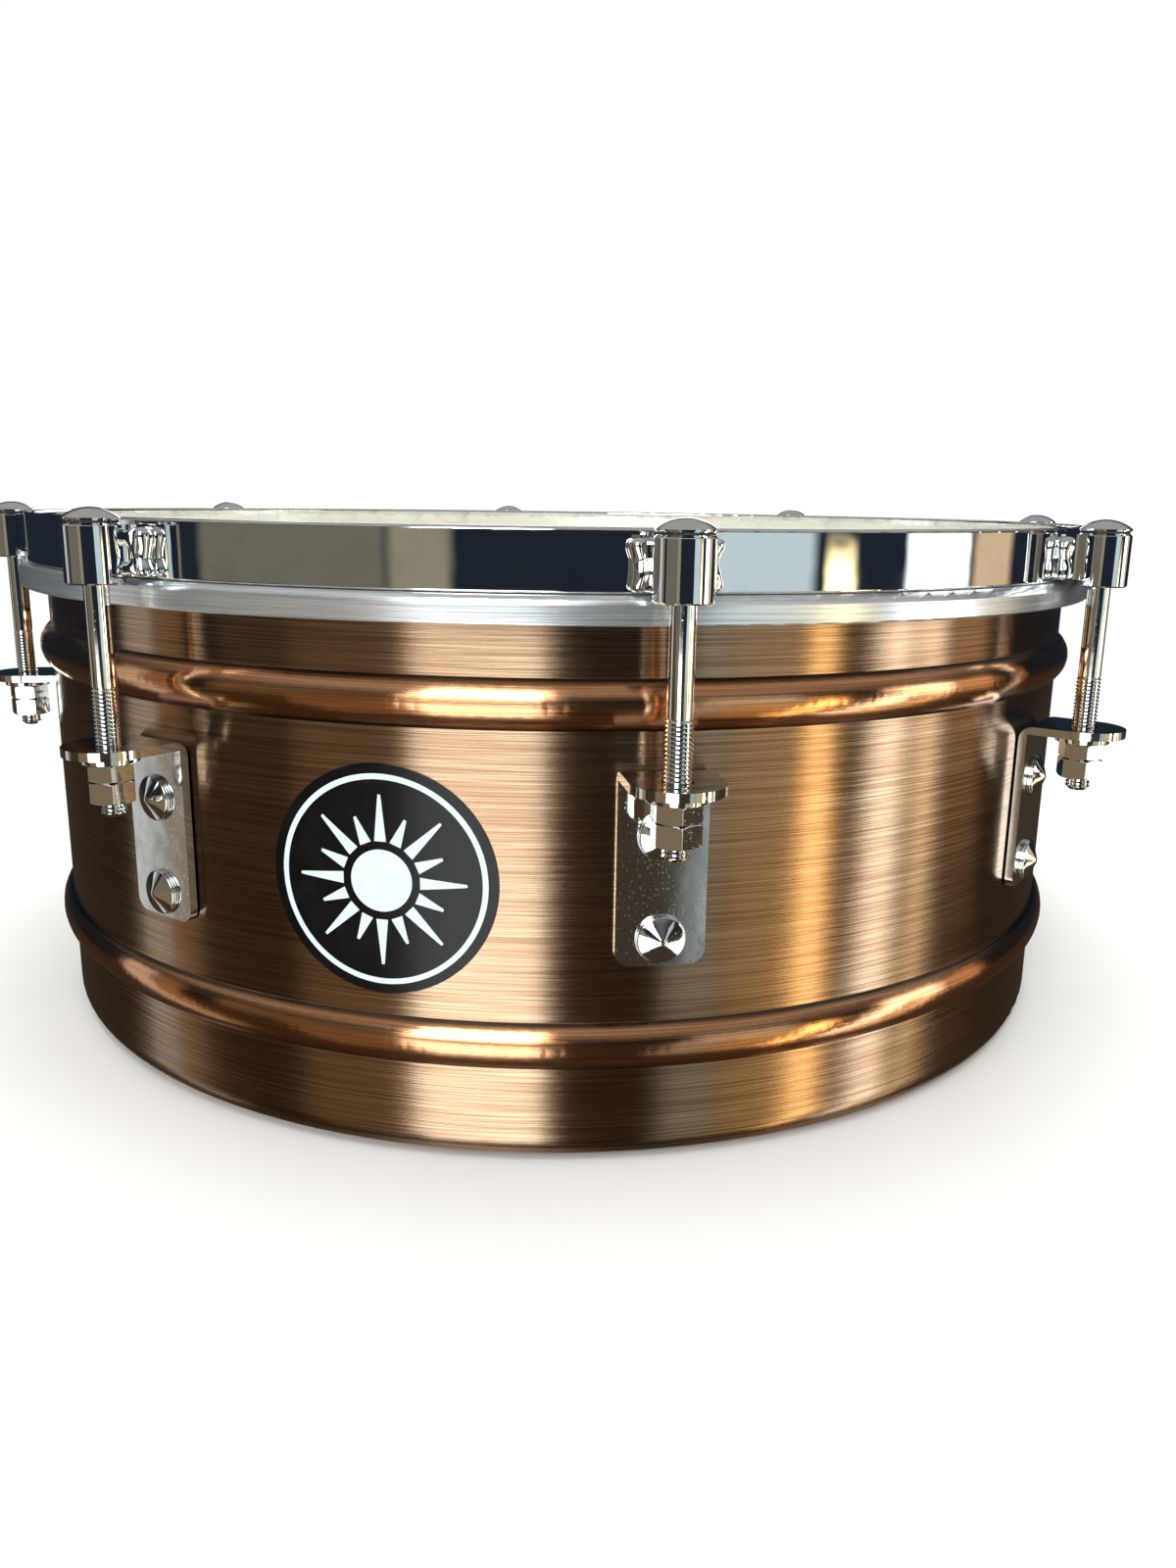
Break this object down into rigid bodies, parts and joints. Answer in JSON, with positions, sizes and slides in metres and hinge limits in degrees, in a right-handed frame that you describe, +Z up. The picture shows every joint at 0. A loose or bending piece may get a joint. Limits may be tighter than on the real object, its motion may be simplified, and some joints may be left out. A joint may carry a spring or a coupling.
{
  "type": "timbale drum",
  "caption": "Single-headed metal drum, open underneath, whose chromed counter hoop is pulled down over the head by rods and nuts on shell brackets.",
  "frame": {"origin": "centre of the bottom rim, on the surface the drum stands on", "axes": "+Z up the drum axis to the head; -Y through lug 1; +X to the right of someone facing lug 1, through lug 3"},
  "size_m": [0.4092, 0.4092, 0.1651],
  "materials": {
    "antique_copper": "brushed antiqued copper plate under clear lacquer, on a steel shell",
    "head_film": "coated cream polyester film",
    "satin_aluminium": "satin",
    "chrome": "polished chrome plate",
    "zinc_plate": "bright zinc plate",
    "black_fibre": "matt black fibre",
    "badge": "printed gloss vinyl"
  },
  "bodies": {
    "drum": {"shell": "antique_copper", "head_film": "head_film", "flesh_hoop": "satin_aluminium", "bracket_bolts": "chrome", "bracket_face_washers": "chrome", "bracket_back_washers": "zinc_plate", "bracket_back_nuts": "zinc_plate", "rod_washers": "chrome", "badge": "badge", "lug_bracket_1": "chrome", "lug_bracket_2": "chrome", "lug_bracket_3": "chrome", "lug_bracket_4": "chrome", "lug_bracket_5": "chrome", "lug_bracket_6": "chrome", "lug_bracket_7": "chrome", "lug_bracket_8": "chrome"},
    "hoop": {"counter_hoop": "chrome", "hoop_ears": "chrome", "rod_collars": "black_fibre", "tension_rod_1": "chrome", "tension_rod_2": "chrome", "tension_rod_3": "chrome", "tension_rod_4": "chrome", "tension_rod_5": "chrome", "tension_rod_6": "chrome", "tension_rod_7": "chrome", "tension_rod_8": "chrome"},
    "nut_pair_1": {"tension_nut_1": "chrome", "lock_nut_1": "chrome"},
    "nut_pair_2": {"tension_nut_2": "chrome", "lock_nut_2": "chrome"},
    "nut_pair_3": {"tension_nut_3": "chrome", "lock_nut_3": "chrome"},
    "nut_pair_4": {"tension_nut_4": "chrome", "lock_nut_4": "chrome"},
    "nut_pair_5": {"tension_nut_5": "chrome", "lock_nut_5": "chrome"},
    "nut_pair_6": {"tension_nut_6": "chrome", "lock_nut_6": "chrome"},
    "nut_pair_7": {"tension_nut_7": "chrome", "lock_nut_7": "chrome"},
    "nut_pair_8": {"tension_nut_8": "chrome", "lock_nut_8": "chrome"}
  },
  "joints": [
    {"name": "hoop_travel", "type": "slide", "parent": "drum", "child": "hoop", "axis": [0, 0, 1], "range_m": [0, 0.003]},
    {"name": "nut_turn_1", "type": "hinge", "parent": "drum", "child": "nut_pair_1", "pos_m": [0, -0.193, 0.0955], "axis": [0, 0, -1], "range_deg": [0, 1021.5]},
    {"name": "nut_turn_2", "type": "hinge", "parent": "drum", "child": "nut_pair_2", "pos_m": [0.13647, -0.13647, 0.0955], "axis": [0, 0, -1], "range_deg": [0, 1021.5]},
    {"name": "nut_turn_3", "type": "hinge", "parent": "drum", "child": "nut_pair_3", "pos_m": [0.193, 0, 0.0955], "axis": [0, 0, -1], "range_deg": [0, 1021.5]},
    {"name": "nut_turn_4", "type": "hinge", "parent": "drum", "child": "nut_pair_4", "pos_m": [0.13647, 0.13647, 0.0955], "axis": [0, 0, -1], "range_deg": [0, 1021.5]},
    {"name": "nut_turn_5", "type": "hinge", "parent": "drum", "child": "nut_pair_5", "pos_m": [0, 0.193, 0.0955], "axis": [0, 0, -1], "range_deg": [0, 1021.5]},
    {"name": "nut_turn_6", "type": "hinge", "parent": "drum", "child": "nut_pair_6", "pos_m": [-0.13647, 0.13647, 0.0955], "axis": [0, 0, -1], "range_deg": [0, 1021.5]},
    {"name": "nut_turn_7", "type": "hinge", "parent": "drum", "child": "nut_pair_7", "pos_m": [-0.193, 0, 0.0955], "axis": [0, 0, -1], "range_deg": [0, 1021.5]},
    {"name": "nut_turn_8", "type": "hinge", "parent": "drum", "child": "nut_pair_8", "pos_m": [-0.13647, -0.13647, 0.0955], "axis": [0, 0, -1], "range_deg": [0, 1021.5]}
  ],
  "couplings": [
    {"joint": "nut_turn_1", "follows": "hoop_travel", "rad_per_m": 5937.1},
    {"joint": "nut_turn_2", "follows": "hoop_travel", "rad_per_m": 5937.1},
    {"joint": "nut_turn_3", "follows": "hoop_travel", "rad_per_m": 5937.1},
    {"joint": "nut_turn_4", "follows": "hoop_travel", "rad_per_m": 5937.1},
    {"joint": "nut_turn_5", "follows": "hoop_travel", "rad_per_m": 5937.1},
    {"joint": "nut_turn_6", "follows": "hoop_travel", "rad_per_m": 5937.1},
    {"joint": "nut_turn_7", "follows": "hoop_travel", "rad_per_m": 5937.1},
    {"joint": "nut_turn_8", "follows": "hoop_travel", "rad_per_m": 5937.1}
  ]
}
